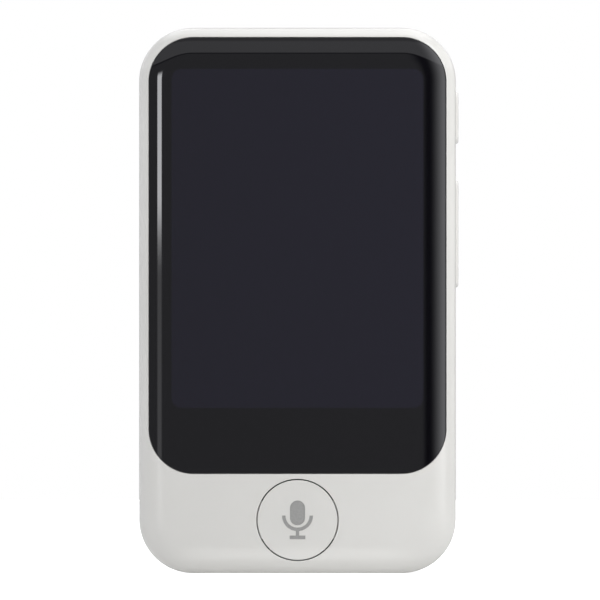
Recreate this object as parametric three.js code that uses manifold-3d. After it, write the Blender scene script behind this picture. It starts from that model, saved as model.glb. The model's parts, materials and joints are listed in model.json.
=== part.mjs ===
// A handheld voice translator: a palm-size slab with a touch display, one round talk button under it,
// a power key and a volume rocker on its right side, a card tray on its left side, a charging port and
// loudspeaker slots in its bottom edge, and a camera in its back. It stands on its bottom edge.
//
// Millimetres. +X is to the right of someone facing the display, -Y is the way the display faces and
// +Z is up. The origin is the centre of the flat bottom edge.
import * as THREE from "three";
import { mergeVertices } from "three/addons/utils/BufferGeometryUtils.js";
import Module from "manifold-3d";

const wasm = await Module();
wasm.setup();

// ---------------------------------------------------------------- driving dimensions

const BODY = { width: 53.2, height: 91.6, depth: 11.5, corner: 9.0 };
// The casing's edges are quarter ellipses: `inset` across the face, `front` and `rear` in depth.
const CROWN = { inset: 6.0, front: 2.4, rear: 4.0 };
const WALL = 1.25;
const PARTING = { y: -2.3, gap: 0.1 };
const LIP = { gap: 0.1, thick: 0.55, reach: 0.75, root: 0.9 };
const TOUCH = 0.04; // the gap left between pieces that touch
const SLIP = 0.15; // the gap round a piece that moves
const ALMOST = 0.05; // how far a round end's radius stays short of half its width
const FLEX_THICK = 0.12;

const GLASS = { rim: 1.68, bottom: 16.8, upperCorner: 7.4, lowerCorner: 7.5, back: -4.65 };
const SEAT = { y: -4.45, back: -3.75 }; // the ledge that carries the cover glass
const DISPLAY = { width: 45.2, z: [24.0, 86.2], corner: 1.2, gap: 0.25 };
const PANEL_Y = [-4.6, -3.92]; // the display's glass cell; its backlight lies behind it
const BACKLIGHT_BACK = -2.78;
const MID_FRAME = { y: [-2.66, -2.16], halfWidth: 24.55, z: [20.5, 89.2], corner: 6.9 };
const BOARD_Y = [-0.45, 0.35];

const TALK = { z: 9.0, radius: 6.7, gap: 0.2, back: -3.95 };
const KEY = { proud: 0.5, thick: 2.6, y: -0.4, crown: 0.3 };
const POWER = { z: 76.6, length: 8.8 };
const VOLUME = { z: 57.0, length: 18.0, nubs: 6.5 };
const KEY_NUB = { x: 23.75, radius: 0.6 };
const FLANGE = { x: [24.5, 25.05], overY: 0.35, overZ: 0.65 };
const ROCKER_PIVOT_X = 23.65;

const PORT = { y: -0.05, width: 8.94, height: 3.26, sheet: 0.3, z: [0.45, 7.2] };
const CAMERA = { x: 13.5, z: 78.5, size: 8.4, barrel: 3.0, bore: 1.6, window: 3.1, ring: 3.65 };
const FLASH = { x: 13.5, z: 70.6, radius: 1.6 };
const TRAY = { z: 69.0, face: 12.76, carrier: 11.2, inner: -11.5, thick: 1.2 };
const TRAY_Y = { face: [-1.85, -0.55], carrier: [-1.65, -0.75] };
const TRAY_PIN = { y: -1.2, z: 5.0, radius: 0.4 }; // the hole that a pin pushes to open the tray
const CARD = { x: [-24.5, -12.2], width: 8.8, y: [-1.45, -0.8] };
const SPEAKER = { x: [7.2, 19.4], z: [3.8, 13.4], y: [0.45, 4.1], corner: 1.2 };
const SPEAKER_SLOTS = { first: 8.4, step: 2.0, count: 5, width: 1.1, y: [-0.95, 0.95] };
const MIC = { y: -0.97, hole: 0.5, lowerX: -12.65, upperX: 0 };

const FRONT_Y = -BODY.depth / 2;
const REAR_Y = BODY.depth / 2;
const HALF_WIDTH = BODY.width / 2;
const INNER_REAR_Y = REAR_Y - WALL;
const QUARTER = Math.PI / 2;

// ---------------------------------------------------------------- finishes: colour, roughness, metalness

const FINISH = {
  pearl: [0xd8d7d3, 0.38, 0.0],
  glass: [0x151518, 0.05, 0.1],
  icon: [0xa6a6a4, 0.5, 0.0],
  display: [0x1c1c20, 0.3, 0.0],
  steel: [0xb9bbbe, 0.35, 0.9],
  tape: [0x222222, 0.8, 0.0],
  board: [0x1d4a36, 0.6, 0.0],
  chip: [0x1b1b1d, 0.5, 0.0],
  flex: [0xb5761f, 0.5, 0.1],
  foil: [0x5b5e63, 0.45, 0.5],
  rubber: [0x1a1a1a, 0.8, 0.0],
  nylon: [0x28282b, 0.55, 0.0],
  lens: [0x0b0c12, 0.05, 0.1],
  amber: [0xe6d79a, 0.3, 0.0],
  card: [0xe9e9ec, 0.5, 0.0],
};

// ---------------------------------------------------------------- solids

function solidOf(geometry) {
  const bare = geometry.index ? geometry.toNonIndexed() : geometry.clone();
  bare.deleteAttribute("normal");
  bare.deleteAttribute("uv");
  const merged = mergeVertices(bare, 1e-4);
  return new wasm.Manifold(
    new wasm.Mesh({
      numProp: 3,
      vertProperties: merged.attributes.position.array,
      triVerts: new Uint32Array(merged.index.array),
    }),
  );
}

function geometryOf(solid) {
  const mesh = solid.getMesh();
  const geometry = new THREE.BufferGeometry();
  geometry.setAttribute("position", new THREE.BufferAttribute(mesh.vertProperties, 3));
  geometry.setIndex(new THREE.BufferAttribute(mesh.triVerts, 1));
  geometry.computeVertexNormals();
  return geometry;
}

const join = (first, ...others) => others.reduce((all, one) => all.add(one), first);
const cut = (first, ...tools) => tools.reduce((all, one) => all.subtract(one), first);
const about = (centre, size) => [centre - size / 2, centre + size / 2];
const grow = ([low, high], by) => [low - by, high + by];

// A rectangle with round corners in the two axes across the extrusion.
function roundedRect([u0, u1], [v0, v1], lower, upper = lower) {
  const shape = new THREE.Shape();
  shape.moveTo(u0 + lower, v0);
  shape.lineTo(u1 - lower, v0);
  shape.absarc(u1 - lower, v0 + lower, lower, -QUARTER, 0);
  shape.lineTo(u1, v1 - upper);
  shape.absarc(u1 - upper, v1 - upper, upper, 0, QUARTER);
  shape.lineTo(u0 + upper, v1);
  shape.absarc(u0 + upper, v1 - upper, upper, QUARTER, 2 * QUARTER);
  shape.lineTo(u0, v0 + lower);
  shape.absarc(u0 + lower, v0 + lower, lower, 2 * QUARTER, 3 * QUARTER);
  return shape;
}

// Where the extrusion's own axes go. A shape is drawn in (Y, Z), (X, Z) or (X, Y).
const AXES = {
  X: [new THREE.Vector3(0, 1, 0), new THREE.Vector3(0, 0, 1), new THREE.Vector3(1, 0, 0)],
  Y: [new THREE.Vector3(1, 0, 0), new THREE.Vector3(0, 0, 1), new THREE.Vector3(0, -1, 0)],
  Z: [new THREE.Vector3(1, 0, 0), new THREE.Vector3(0, 1, 0), new THREE.Vector3(0, 0, 1)],
};

// An extrusion along an axis. With `crown`, both its ends have elliptical edges.
function extrude(shape, axis, [from, to], { arcs = 4, crown = null } = {}) {
  const deep = crown ? crown.deep : 0;
  const geometry = new THREE.ExtrudeGeometry(shape, {
    depth: to - from - 2 * deep,
    curveSegments: arcs,
    bevelEnabled: Boolean(crown),
    bevelThickness: deep,
    bevelSize: crown ? crown.inset : 0,
    bevelOffset: crown ? -crown.inset : 0,
    bevelSegments: crown ? crown.steps : 1,
  });
  geometry.translate(0, 0, deep + (axis === "Y" ? -to : from));
  geometry.applyMatrix4(new THREE.Matrix4().makeBasis(...AXES[axis]));
  return solidOf(geometry);
}

function block([x0, x1], [y0, y1], [z0, z1]) {
  const geometry = new THREE.BoxGeometry(x1 - x0, y1 - y0, z1 - z0);
  geometry.translate((x0 + x1) / 2, (y0 + y1) / 2, (z0 + z1) / 2);
  return solidOf(geometry);
}

// A round rod along an axis through (u, v), the other two axes in X, Y, Z order.
function rod(axis, [u, v], radius, [from, to], sides = 24) {
  const geometry = new THREE.CylinderGeometry(radius, radius, to - from, sides);
  const middle = (from + to) / 2;
  if (axis === "X") {
    geometry.rotateZ(-QUARTER);
    geometry.translate(middle, u, v);
  } else if (axis === "Y") {
    geometry.translate(u, middle, v);
  } else {
    geometry.rotateX(QUARTER);
    geometry.translate(u, v, middle);
  }
  return solidOf(geometry);
}

// A flexible strip across X that follows a smooth line through points in (Y, Z).
function ribbon(points, [x0, x1], steps = 24) {
  const line = new THREE.CatmullRomCurve3(points.map(([y, z]) => new THREE.Vector3(y, z, 0)));
  const outline = [];
  const inside = [];
  for (let i = 0; i <= steps; i++) {
    const at = line.getPointAt(i / steps);
    const along = line.getTangentAt(i / steps).multiplyScalar(FLEX_THICK / 2);
    outline.push(new THREE.Vector2(at.x - along.y, at.y + along.x));
    inside.unshift(new THREE.Vector2(at.x + along.y, at.y - along.x));
  }
  return extrude(new THREE.Shape([...outline, ...inside]), "X", [x0, x1]);
}

// ---------------------------------------------------------------- the scene graph

const translator = new THREE.Group();

function place(name, solid, finish, group = translator) {
  const [color, roughness, metalness] = FINISH[finish];
  const material = new THREE.MeshStandardMaterial({ color, roughness, metalness });
  const mesh = new THREE.Mesh(geometryOf(solid), material);
  mesh.name = name;
  group.add(mesh);
  return mesh;
}

function assembly(x = 0, y = 0, z = 0) {
  const group = new THREE.Group();
  group.position.set(x, y, z);
  translator.add(group);
  return group;
}

// ---------------------------------------------------------------- casing

const outline = (inset) =>
  roundedRect(
    grow([-HALF_WIDTH, HALF_WIDTH], -inset),
    grow([0, BODY.height], -inset),
    BODY.corner - inset,
  );

// The whole body with one edge form at both ends; each housing keeps the end it needs.
const envelope = (deep) =>
  extrude(outline(0), "Y", [FRONT_Y, REAR_Y], { crown: { inset: CROWN.inset, deep, steps: 6 } });
const frontEnvelope = envelope(CROWN.front);
const rearEnvelope = envelope(CROWN.rear);

const FAR = 60; // well outside the body
const inFrontOf = (y) => block([-FAR, FAR], [-FAR, y], [-FAR, 2 * FAR]);
const behind = (y) => block([-FAR, FAR], [y, FAR], [-FAR, 2 * FAR]);

const glassOutline = (inset) =>
  roundedRect(
    grow([-HALF_WIDTH, HALF_WIDTH], -GLASS.rim - inset),
    [GLASS.bottom + inset, BODY.height - GLASS.rim - inset],
    GLASS.lowerCorner - inset,
    GLASS.upperCorner - inset,
  );
const displayOutline = (over) =>
  roundedRect(grow([-DISPLAY.width / 2, DISPLAY.width / 2], over), grow(DISPLAY.z, over), DISPLAY.corner);

const keyOutline = (z, length, over) =>
  roundedRect(
    grow(about(KEY.y, KEY.thick), over),
    grow(about(z, length), over),
    KEY.thick / 2 + over - ALMOST,
  );

// The snap beads on the housing's lip: the wall that each is on, and its place along that wall.
const SNAP = { inset: [1.05, 1.6], y: [-1.95, -1.6], width: 3, play: 0.12 };
const SNAPS = [
  ["left", 26],
  ["left", 42],
  ["right", 26],
  ["right", 38],
  ["top", -10],
  ["top", 10],
  ["bottom", -8.5],
  ["bottom", 8.5],
];
function snapBead([wall, place], over) {
  const y = grow(SNAP.y, over);
  const along = grow(about(place, SNAP.width), over);
  const [near, far] = grow(SNAP.inset, over);
  const walls = {
    left: () => block([near - HALF_WIDTH, far - HALF_WIDTH], y, along),
    right: () => block([HALF_WIDTH - far, HALF_WIDTH - near], y, along),
    top: () => block(along, y, [BODY.height - far, BODY.height - near]),
    bottom: () => block(along, y, [near, far]),
  };
  return walls[wall]();
}

const LOWER_BOSSES = [-16.5, 16.5].map((x) => [x, 16.6]);
const TALK_BOSSES = [-9.8, 9.8].map((x) => [x, TALK.z]);
const TALK_BOARD_Y = [-2.35, -1.85];
const BOSS = { lower: 1.6, lowerHole: 0.6, talk: 1.25, talkHole: 0.5, talkFloor: -3.9, sunk: 0.2 };
const CHIN_POCKET = { x: [-20, 20], z: [3.0, 15.6], corner: 5.5 };
const FRONT_CAVITY_DEEP = 1.2;
const TRAY_GAP = 0.1; // round the card tray's face
const TRAY_CORNER = 0.6;
const LENS_GAP = 0.06; // round the camera's ring and the flash's lens

const portOutline = (over, y) =>
  roundedRect(
    grow(about(0, PORT.width), over),
    grow(about(y, PORT.height), over),
    PORT.height / 2 + over - ALMOST,
  );
// Where the lip is left out: by the side keys, by the card tray and by the charging port.
const LIP_GAPS = { keys: [45.5, 83], tray: [61.5, 76.5], port: [-5.6, 5.6], across: 4 };

function frontHousing() {
  const shell = frontEnvelope.intersect(inFrontOf(PARTING.y));
  const cavity = extrude(outline(WALL), "Y", [SEAT.back, REAR_Y], {
    crown: { inset: CROWN.inset - WALL, deep: FRONT_CAVITY_DEEP, steps: 3 },
  });
  const chin = roundedRect(CHIN_POCKET.x, CHIN_POCKET.z, CHIN_POCKET.corner);
  const chinPocket = extrude(chin, "Y", [SEAT.y, SEAT.back + 1]);
  const glassPocket = extrude(glassOutline(-0.08), "Y", [FRONT_Y - 1, SEAT.y], { arcs: 5 });
  const window = extrude(displayOutline(DISPLAY.gap), "Y", [SEAT.y - 1, SEAT.back + 1]);
  const talkHole = rod("Y", [0, TALK.z], TALK.radius + TALK.gap, [FRONT_Y - 1, PARTING.y - 0.2], 48);

  const lipOuter = WALL + LIP.gap;
  const lipEnd = PARTING.y + LIP.reach;
  const lipRoot = PARTING.y - LIP.root;
  const lip = join(
    extrude(outline(lipOuter), "Y", [PARTING.y - 0.01, lipEnd]),
    extrude(outline(WALL - 0.2), "Y", [lipRoot, PARTING.y]),
  ).subtract(extrude(outline(lipOuter + LIP.thick), "Y", [lipRoot - 1, lipEnd + 1]));
  const aboveParting = [PARTING.y - 0.001, 0];
  const rightEdge = [HALF_WIDTH - LIP_GAPS.across, HALF_WIDTH];
  const leftEdge = [-HALF_WIDTH, LIP_GAPS.across - HALF_WIDTH];
  const lipGaps = [
    block(rightEdge, aboveParting, LIP_GAPS.keys),
    block(leftEdge, aboveParting, LIP_GAPS.tray),
    block(LIP_GAPS.port, aboveParting, [0, LIP_GAPS.across]),
  ];

  const lowerBossY = [SEAT.y + BOSS.sunk, BOARD_Y[0] - TOUCH];
  const talkBossY = [SEAT.y - BOSS.sunk, TALK_BOARD_Y[0] - TOUCH];
  const bosses = [
    ...LOWER_BOSSES.map((at) => rod("Y", at, BOSS.lower, lowerBossY, 16)),
    ...TALK_BOSSES.map((at) => rod("Y", at, BOSS.talk, talkBossY, 16)),
  ];
  const bossHoles = [
    ...LOWER_BOSSES.map((at) => rod("Y", at, BOSS.lowerHole, [SEAT.back, 0], 12)),
    ...TALK_BOSSES.map((at) => rod("Y", at, BOSS.talkHole, [BOSS.talkFloor, 0], 12)),
  ];
  const hollow = cut(shell, cavity, chinPocket, glassPocket, window, talkHole);
  const withLip = join(hollow, cut(lip, ...lipGaps), ...SNAPS.map((snap) => snapBead(snap, 0)));
  return cut(join(withLip, ...bosses), ...bossHoles);
}

function rearCover() {
  const shell = rearEnvelope.intersect(behind(PARTING.y + PARTING.gap));
  const cavity = extrude(outline(WALL), "Y", [FRONT_Y, INNER_REAR_Y], {
    crown: { inset: CROWN.inset - WALL, deep: CROWN.rear - WALL, steps: 4 },
  });
  const through = [-1, WALL + 0.5]; // from outside the body to inside its wall
  const throughTop = through.map((depth) => BODY.height - depth).reverse();
  const throughRear = [INNER_REAR_Y - 1, REAR_Y + 1];
  const throughRight = through.map((depth) => HALF_WIDTH - depth).reverse();
  const throughLeft = through.map((depth) => depth - HALF_WIDTH);
  const keySlots = [POWER, VOLUME].map(({ z, length }) =>
    extrude(keyOutline(z, length, SLIP), "X", throughRight),
  );
  const trayMouth = roundedRect(
    grow(TRAY_Y.face, TRAY_GAP),
    grow(about(TRAY.z, TRAY.face), TRAY_GAP),
    TRAY_CORNER + TRAY_GAP,
  );
  const traySlot = extrude(trayMouth, "X", throughLeft);
  const portSlot = extrude(portOutline(SLIP, PORT.y), "Z", through);
  const slots = Array.from({ length: SPEAKER_SLOTS.count }, (_, i) => {
    const x = about(SPEAKER_SLOTS.first + i * SPEAKER_SLOTS.step, SPEAKER_SLOTS.width);
    const slot = roundedRect(x, SPEAKER_SLOTS.y, SPEAKER_SLOTS.width / 2 - ALMOST);
    return extrude(slot, "Z", through);
  });
  return cut(
    shell,
    cavity,
    ...keySlots,
    traySlot,
    portSlot,
    ...slots,
    ...SNAPS.map((snap) => snapBead(snap, SNAP.play)),
    rod("Z", [MIC.lowerX, MIC.y], MIC.hole, through, 12),
    rod("Z", [MIC.upperX, MIC.y], MIC.hole, throughTop, 12),
    rod("Y", [CAMERA.x, CAMERA.z], CAMERA.ring + LENS_GAP, throughRear, 32),
    rod("Y", [FLASH.x, FLASH.z], FLASH.radius + LENS_GAP, throughRear, 20),
  );
}

// ---------------------------------------------------------------- display

function displayStack() {
  const glass = extrude(glassOutline(0), "Y", [FRONT_Y - 1, GLASS.back], { arcs: 5 });
  place("cover_glass", frontEnvelope.intersect(glass), "glass");

  const tapeY = [GLASS.back + TOUCH / 2, SEAT.y - TOUCH / 2];
  const tape = extrude(glassOutline(0.4), "Y", tapeY);
  const tapeWindow = extrude(displayOutline(DISPLAY.gap), "Y", grow(tapeY, 1));
  place("glass_adhesive", tape.subtract(tapeWindow), "tape");

  place("display_panel", extrude(displayOutline(0), "Y", PANEL_Y), "display");
  const backlight = extrude(displayOutline(-0.1), "Y", [PANEL_Y[1] + TOUCH, BACKLIGHT_BACK]);
  place("display_backlight", backlight, "steel");
}

const DISPLAY_FLEX_X = [-13, -4];
// From the display's lower edge to the connector on the lower board, in (Y, Z).
const DISPLAY_FLEX_PATH = [
  [-3.62, 23.85],
  [-3.4, 23.2],
  [-2.9, 21.6],
  [-2.4, 20.2],
  [-1.7, 19.3],
  [-1.2, 18.4],
  [-1.16, 16.0],
];
const DISPLAY_CONNECTOR = { y: [-1.02, BOARD_Y[0] - TOUCH], z: [15.8, 17.6] };
function displayCable() {
  place("display_flex", ribbon(DISPLAY_FLEX_PATH, DISPLAY_FLEX_X), "flex");
  const connector = block(grow(DISPLAY_FLEX_X, 0.5), DISPLAY_CONNECTOR.y, DISPLAY_CONNECTOR.z);
  place("display_connector", connector, "nylon");
}

// ---------------------------------------------------------------- frame and boards

const MAIN_POSTS = [
  [-18.6, 84.0],
  [18.9, 64.0],
];
const POST = { radius: 1.5, hole: 0.6, sunk: 0.2 };
const FLEX_NOTCH_TOP = 22.6;

function midFrame() {
  const width = [-MID_FRAME.halfWidth, MID_FRAME.halfWidth];
  const plate = extrude(roundedRect(width, MID_FRAME.z, 1.5, MID_FRAME.corner), "Y", MID_FRAME.y);
  const notchZ = [MID_FRAME.z[0] - 1, FLEX_NOTCH_TOP];
  const flexNotch = block(grow(DISPLAY_FLEX_X, 1), grow(MID_FRAME.y, 1), notchZ);
  const postY = [MID_FRAME.y[1] - POST.sunk, BOARD_Y[0] - TOUCH];
  const posts = MAIN_POSTS.map((at) => rod("Y", at, POST.radius, postY, 16));
  const holes = MAIN_POSTS.map((at) => rod("Y", at, POST.hole, grow(MID_FRAME.y, 2), 12));
  return cut(join(plate, ...posts), flexNotch, ...holes);
}

// A board screw: a flat round head with a cross slot, and a plain shank. It points to -Y.
const BOARD_SCREW = { head: 1.25, shank: 0.5, length: 2.4 };
const TALK_SCREW = { head: 1.0, shank: 0.4, length: 1.9 };
const SCREW_HEAD = { tall: 0.5, slotFloor: 0.25, slotHalf: 0.22 };
function screw({ head, shank, length }) {
  const slotY = [SCREW_HEAD.slotFloor, 1];
  const narrow = [-SCREW_HEAD.slotHalf, SCREW_HEAD.slotHalf];
  return cut(
    join(
      rod("Y", [0, 0], head, [0, SCREW_HEAD.tall], 20),
      rod("Y", [0, 0], shank, [-length, 0.1], 12),
    ),
    block(narrow, slotY, about(0, head)),
    block(about(0, head), slotY, narrow),
  );
}

const MAIN_BOARD = { x: [-22.8, 21.8], z: [60.8, 88.2], lower: 0.8, upper: 6 };
const LOWER_BOARD = { x: [-21, 21], z: [2.2, 20.2], lower: 6.5, upper: 0.8 };
const SCREW_HOLE = 0.8;
const COMPONENT_FRONT = BOARD_Y[1] + TOUCH; // where a component on a board's rear side begins

function boards() {
  const bare = ({ x, z, lower, upper }, screwsAt) => {
    const holes = screwsAt.map((at) => rod("Y", at, SCREW_HOLE, grow(BOARD_Y, 1), 12));
    return cut(extrude(roundedRect(x, z, lower, upper), "Y", BOARD_Y), ...holes);
  };
  place("main_board", bare(MAIN_BOARD, MAIN_POSTS), "board");
  const portNotch = block(about(0, PORT.width + 0.5), grow(BOARD_Y, 1), [0, PORT.z[1] + 0.3]);
  place("lower_board", bare(LOWER_BOARD, LOWER_BOSSES).subtract(portNotch), "board");

  [...MAIN_POSTS, ...LOWER_BOSSES].forEach(([x, z], i) => {
    const mesh = place(`board_screw_${i + 1}`, screw(BOARD_SCREW), "steel");
    mesh.position.set(x, COMPONENT_FRONT, z);
  });
}

// What stands on the boards' rear sides: the ranges in X and Z, and how far back it reaches.
const SHIELDS = {
  processor_shield: { x: [-12, 6.5], z: [66.4, 83.4], back: 2.0 },
  radio_shield: { x: [-21, -13.2], z: [63.4, 79.5], back: 1.8 },
};
const SHIELD_SHEET = 0.2;
const CONNECTORS = {
  battery_connector: { x: [-4, 4], z: [61.7, 63.9], back: 1.35 },
  link_connector_upper: { x: [7, 14], z: [61.6, 63.8], back: 1.2 },
  link_connector_lower: { x: [7, 14], z: [14.6, 16.8], back: 1.2 },
};
const PROCESSOR = { x: [-9.5, 0.5], z: [69, 79], back: 1.3 };

function components() {
  const box = ({ x, z, back }) => block(x, [COMPONENT_FRONT, back], z);
  place("processor_chip", box(PROCESSOR), "chip");
  for (const [name, can] of Object.entries(SHIELDS)) {
    const insideX = grow(can.x, -SHIELD_SHEET);
    const insideZ = grow(can.z, -SHIELD_SHEET);
    const inside = block(insideX, [COMPONENT_FRONT - 1, can.back - SHIELD_SHEET], insideZ);
    place(name, box(can).subtract(inside), "steel");
  }
  for (const [name, connector] of Object.entries(CONNECTORS)) {
    place(name, box(connector), "nylon");
  }
}

// The strip that links the two boards, in (Y, Z). Its ends lie on the link connectors, and its middle
// on the battery.
const LINK_FLEX_X = [7.6, 13.4];
const LINK_FLEX_PATH = [
  [1.36, 15.0],
  [1.36, 16.8],
  [2.2, 19.0],
  [3.0, 21.4],
  [3.0, 30],
  [3.0, 50],
  [3.0, 57.4],
  [2.2, 59.6],
  [1.36, 61.6],
  [1.36, 63.4],
];
const ANTENNA = { x: [-15, 15], y: [0.2, 3.0], z: [89.2, 89.4] };
const ANTENNA_FOOT = { x: [-15, -12], y: [0.6, 0.8], z: [86.0, 89.3] };

function linkAndAntenna() {
  place("link_flex", ribbon(LINK_FLEX_PATH, LINK_FLEX_X, 36), "flex");
  const strips = [ANTENNA, ANTENNA_FOOT].map(({ x, y, z }) => block(x, y, z));
  place("antenna_flex", join(...strips), "flex");
}

const BATTERY = { x: [-22.4, 18.4], y: [-2.06, 2.74], z: [21.5, 57.6], corner: 1.2, edge: 0.5 };
const BATTERY_CIRCUIT = { x: [-14, 10], y: [-1.7, -0.72], z: [57.8, 60.2] };
const BATTERY_LEAD_X = [-2.5, 2.5];
const BATTERY_LEAD_PATH = [
  [-0.62, 58.4],
  [-0.6, 59.4],
  [0.1, 60.25],
  [0.95, 60.6],
  [1.45, 61.6],
  [1.45, 63.6],
];

function battery() {
  const cell = extrude(roundedRect(BATTERY.x, BATTERY.z, BATTERY.corner), "Y", BATTERY.y, {
    crown: { inset: BATTERY.edge, deep: BATTERY.edge, steps: 2 },
  });
  place("battery_cell", cell, "foil");
  const { x, y, z } = BATTERY_CIRCUIT;
  place("battery_circuit", block(x, y, z), "chip");
  place("battery_lead", ribbon(BATTERY_LEAD_PATH, BATTERY_LEAD_X), "flex");
}

// ---------------------------------------------------------------- talk button

const ICON = { deep: 0.25, gap: 0.03, line: 0.55, radius: 2.3, lift: 0.75, stem: 1.35, foot: 2.6 };
const ICON_CAPSULE = { wide: 2.5, tall: 4.1, lift: 1.2 };

// The microphone glyph, in (X, Z) about the button's centre: the capsule, and its stand.
function iconSolids(over, y) {
  const { wide, tall, lift } = ICON_CAPSULE;
  const capsuleOutline = roundedRect(
    grow(about(0, wide), over),
    grow(about(lift, tall), over),
    wide / 2 + over - ALMOST,
  );
  const capsule = extrude(capsuleOutline, "Y", y);
  const half = ICON.line / 2 + over;
  const cup = rod("Y", [0, ICON.lift], ICON.radius + half, y, 40)
    .subtract(rod("Y", [0, ICON.lift], ICON.radius - half, grow(y, 1), 40))
    .subtract(block([-FAR, FAR], grow(y, 1), [ICON.lift + over, FAR]));
  const base = ICON.lift - ICON.radius - ICON.stem;
  const stem = block([-half, half], y, [base - over, ICON.lift - ICON.radius]);
  const foot = block(grow(about(0, ICON.foot), over), y, [base - half, base + half]);
  return [capsule, join(cup, stem, foot)];
}

// A snap dome lying in the X-Z plane, its crown towards -Y.
const DOME_RIM = 0.06;
const DOME_STEPS = 4;
function snapDome(radius, height) {
  const profile = [new THREE.Vector2(0, 0), new THREE.Vector2(radius, 0)];
  for (let i = 0; i < DOME_STEPS; i++) {
    const turn = (QUARTER * i) / DOME_STEPS;
    const rise = (height - DOME_RIM) * Math.sin(turn);
    profile.push(new THREE.Vector2(radius * Math.cos(turn), DOME_RIM + rise));
  }
  profile.push(new THREE.Vector2(0, height));
  const geometry = new THREE.LatheGeometry(profile, 16);
  geometry.rotateX(2 * QUARTER);
  return solidOf(geometry);
}

const TALK_TABS = { reach: 8.2, halfTall: 3.4, front: -4.35 };
const TALK_PLUNGER = { radius: 1.2, end: -2.71 };
const TALK_BOARD = { x: [-11.6, 11.6], z: [5.1, 12.9], corner: 1, hole: 0.7 };
const TALK_DOME = { radius: 2.5, height: 0.28 };
const TALK_FLEX_X = [5.6, 8.2];
const TALK_FLEX_PATH = [
  [-1.7, 10.1],
  [-1.7, 12.8],
  [-1.2, 14.0],
  [-0.62, 14.6],
  [-0.56, 16.1],
];

function talkKey() {
  const key = assembly(0, 0, TALK.z);
  const cap = frontEnvelope
    .translate([0, 0, -TALK.z])
    .intersect(rod("Y", [0, 0], TALK.radius, [FRONT_Y - 1, TALK.back], 48));
  const band = block([-FAR, FAR], [-FAR, 0], [-TALK_TABS.halfTall, TALK_TABS.halfTall]);
  const tabs = rod("Y", [0, 0], TALK_TABS.reach, [TALK_TABS.front, TALK.back], 32).intersect(band);
  const plunger = rod("Y", [0, 0], TALK_PLUNGER.radius, [TALK.back - 0.1, TALK_PLUNGER.end], 16);
  const iconY = [FRONT_Y - 1, FRONT_Y + ICON.deep];
  place("talk_button", cut(join(cap, tabs, plunger), ...iconSolids(ICON.gap, iconY)), "pearl", key);
  const [capsule, stand] = iconSolids(0, [FRONT_Y, FRONT_Y + ICON.deep - TOUCH]);
  place("talk_icon_capsule", capsule, "icon", key);
  place("talk_icon_stand", stand, "icon", key);

  const plate = roundedRect(TALK_BOARD.x, TALK_BOARD.z, TALK_BOARD.corner);
  const holes = TALK_BOSSES.map((at) => rod("Y", at, TALK_BOARD.hole, grow(TALK_BOARD_Y, 1), 12));
  place("talk_switch_board", cut(extrude(plate, "Y", TALK_BOARD_Y), ...holes), "board");
  const dome = place("talk_dome", snapDome(TALK_DOME.radius, TALK_DOME.height), "steel");
  dome.position.set(0, TALK_BOARD_Y[0] - TOUCH, TALK.z);
  ["left", "right"].forEach((side, i) => {
    const mesh = place(`talk_screw_${side}`, screw(TALK_SCREW), "steel");
    mesh.position.set(TALK_BOSSES[i][0], TALK_BOARD_Y[1] + TOUCH, TALK_BOSSES[i][1]);
  });
  place("talk_flex", ribbon(TALK_FLEX_PATH, TALK_FLEX_X), "flex");
}

// ---------------------------------------------------------------- side keys

const FLANGE_CORNER = 0.8;
const ROCKER_RIB = { radius: 0.3, y: [-1, 1] };
const SIDE_BOARD = { plate: [22.5, 23.0], foot: 21.0, flex: 23.2, z: [46.6, 82.4] };
const SIDE_BOARD_Y = { plate: [-1.9, 1.1], flex: [-1.8, 1.0], footTop: -1.75 };
const SIDE_DOME = { radius: 1.3, height: 0.4 };

// A side key about (x, KEY.y, z) of its group, whose x is that of `originX`.
function sideKey(length, originX, nubs) {
  const x = (value) => value - originX;
  const body = extrude(
    roundedRect(about(0, KEY.thick), about(0, length), KEY.thick / 2 - ALMOST),
    "X",
    [x(FLANGE.x[1] - 0.3), x(HALF_WIDTH + KEY.proud)],
    { arcs: 3, crown: { inset: KEY.crown, deep: KEY.crown, steps: 2 } },
  );
  const flange = extrude(
    roundedRect(
      grow(about(0, KEY.thick), FLANGE.overY),
      grow(about(0, length), FLANGE.overZ),
      FLANGE_CORNER,
    ),
    "X",
    FLANGE.x.map(x),
    { arcs: 2 },
  );
  const tipX = [x(KEY_NUB.x), x(FLANGE.x[0] + 0.1)];
  const tips = nubs.map((z) => rod("X", [0, z], KEY_NUB.radius, tipX, 12));
  return join(body, flange, ...tips);
}

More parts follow.
